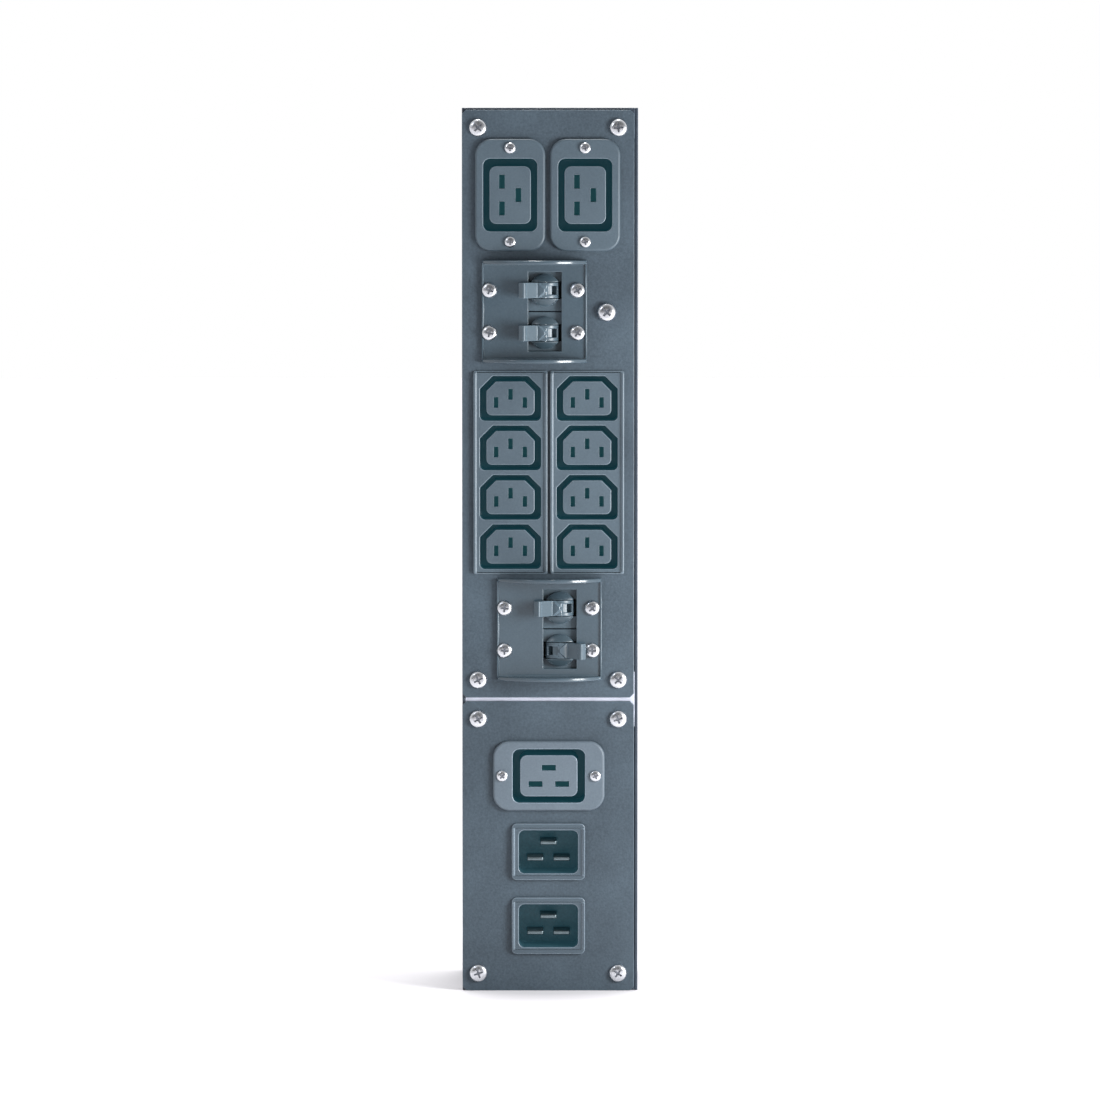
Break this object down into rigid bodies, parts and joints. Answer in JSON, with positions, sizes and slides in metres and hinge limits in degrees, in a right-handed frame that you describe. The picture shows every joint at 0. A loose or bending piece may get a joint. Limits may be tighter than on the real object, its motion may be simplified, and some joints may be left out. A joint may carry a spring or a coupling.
{
  "type": "rack power strip",
  "caption": "Sheet steel rack power box with flanged outlets, gang outlet strips, recessed inlets and toggle breakers behind half-moon guards, stood on its end.",
  "frame": {"origin": "middle of the flat back face", "axes": "+X across the box, +Y out of the back, +Z along its length; the connectors face -Y"},
  "size_m": [0.0858, 0.095, 0.432],
  "materials": {
    "chassis_powder_coat": "fine textured powder coat on sheet steel",
    "panel_powder_coat": "fine textured slate powder coat",
    "zinc_plate": "zinc plated steel",
    "bright_screw": "bright nickel plated steel",
    "board": "pressed insulation board",
    "outlet_plastic": "moulded flame retardant polyamide",
    "cover_plastic": "moulded plastic",
    "inlet_plastic": "moulded polyamide",
    "guard_plastic": "moulded polycarbonate",
    "breaker_plastic": "moulded thermoset",
    "lever_plastic": "smooth moulded plastic",
    "sleeve_plastic": "nylon",
    "brass": "stamped brass",
    "plated_pin": "nickel plated brass",
    "copper": "enamelled copper",
    "line_insulation": "brown vinyl insulation",
    "neutral_insulation": "blue vinyl insulation",
    "earth_insulation": "green vinyl insulation"
  },
  "bodies": {
    "box": {"breaker_1_case": "breaker_plastic", "breaker_2_case": "breaker_plastic", "breaker_3_case": "breaker_plastic", "breaker_4_case": "breaker_plastic", "breaker_coils": "copper", "breaker_contact_arms": "copper", "breaker_line_links": "brass", "breaker_terminals": "brass", "c13_left_cover": "cover_plastic", "c13_left_earth_bus": "brass", "c13_left_housing": "outlet_plastic", "c13_left_line_bus": "brass", "c13_left_neutral_bus": "brass", "c13_right_cover": "cover_plastic", "c13_right_earth_bus": "brass", "c13_right_housing": "outlet_plastic", "c13_right_line_bus": "brass", "c13_right_neutral_bus": "brass", "c19_flange_nuts": "zinc_plate", "c19_flange_screws": "bright_screw", "c19_left_contacts": "brass", "c19_left_housing": "outlet_plastic", "c19_lower_contacts": "brass", "c19_lower_housing": "outlet_plastic", "c19_right_contacts": "brass", "c19_right_housing": "outlet_plastic", "chassis_channel": "chassis_powder_coat", "chassis_rivets": "zinc_plate", "ear_press_nuts": "zinc_plate", "earth_lug": "brass", "earth_nut": "zinc_plate", "earth_screw": "bright_screw", "earth_washer": "zinc_plate", "earth_wires": "earth_insulation", "guard_screws": "bright_screw", "inlet_lower_housing": "inlet_plastic", "inlet_lower_pins": "plated_pin", "inlet_upper_housing": "inlet_plastic", "inlet_upper_pins": "plated_pin", "insulation_sheet": "board", "lever_pivot_pins": "bright_screw", "line_wires": "line_insulation", "lower_end_cap": "chassis_powder_coat", "lower_guard": "guard_plastic", "lower_panel": "panel_powder_coat", "neutral_wires": "neutral_insulation", "panel_clinch_nuts": "zinc_plate", "panel_cross_bar": "zinc_plate", "panel_screws": "bright_screw", "terminal_sleeves": "sleeve_plastic", "upper_end_cap": "chassis_powder_coat", "upper_guard": "guard_plastic", "upper_panel": "panel_powder_coat"},
    "toggle_1": {"breaker_1_lever": "lever_plastic"},
    "toggle_2": {"breaker_2_lever": "lever_plastic"},
    "toggle_3": {"breaker_3_lever": "lever_plastic"},
    "toggle_4": {"breaker_4_lever": "lever_plastic"}
  },
  "joints": [
    {"name": "toggle_1_throw", "type": "hinge", "parent": "box", "child": "toggle_1", "pos_m": [-0.0025, -0.0775, 0.1273], "axis": [0, 0, 1], "range_deg": [0, 84]},
    {"name": "toggle_2_throw", "type": "hinge", "parent": "box", "child": "toggle_2", "pos_m": [-0.0025, -0.0775, 0.1065], "axis": [0, 0, 1], "range_deg": [0, 84]},
    {"name": "toggle_3_throw", "type": "hinge", "parent": "box", "child": "toggle_3", "pos_m": [0.0048, -0.0775, -0.0278], "axis": [0, 0, 1], "range_deg": [0, 84]},
    {"name": "toggle_4_throw", "type": "hinge", "parent": "box", "child": "toggle_4", "pos_m": [0.0048, -0.0775, -0.0486], "axis": [0, 0, 1], "range_deg": [-84, 0]}
  ]
}
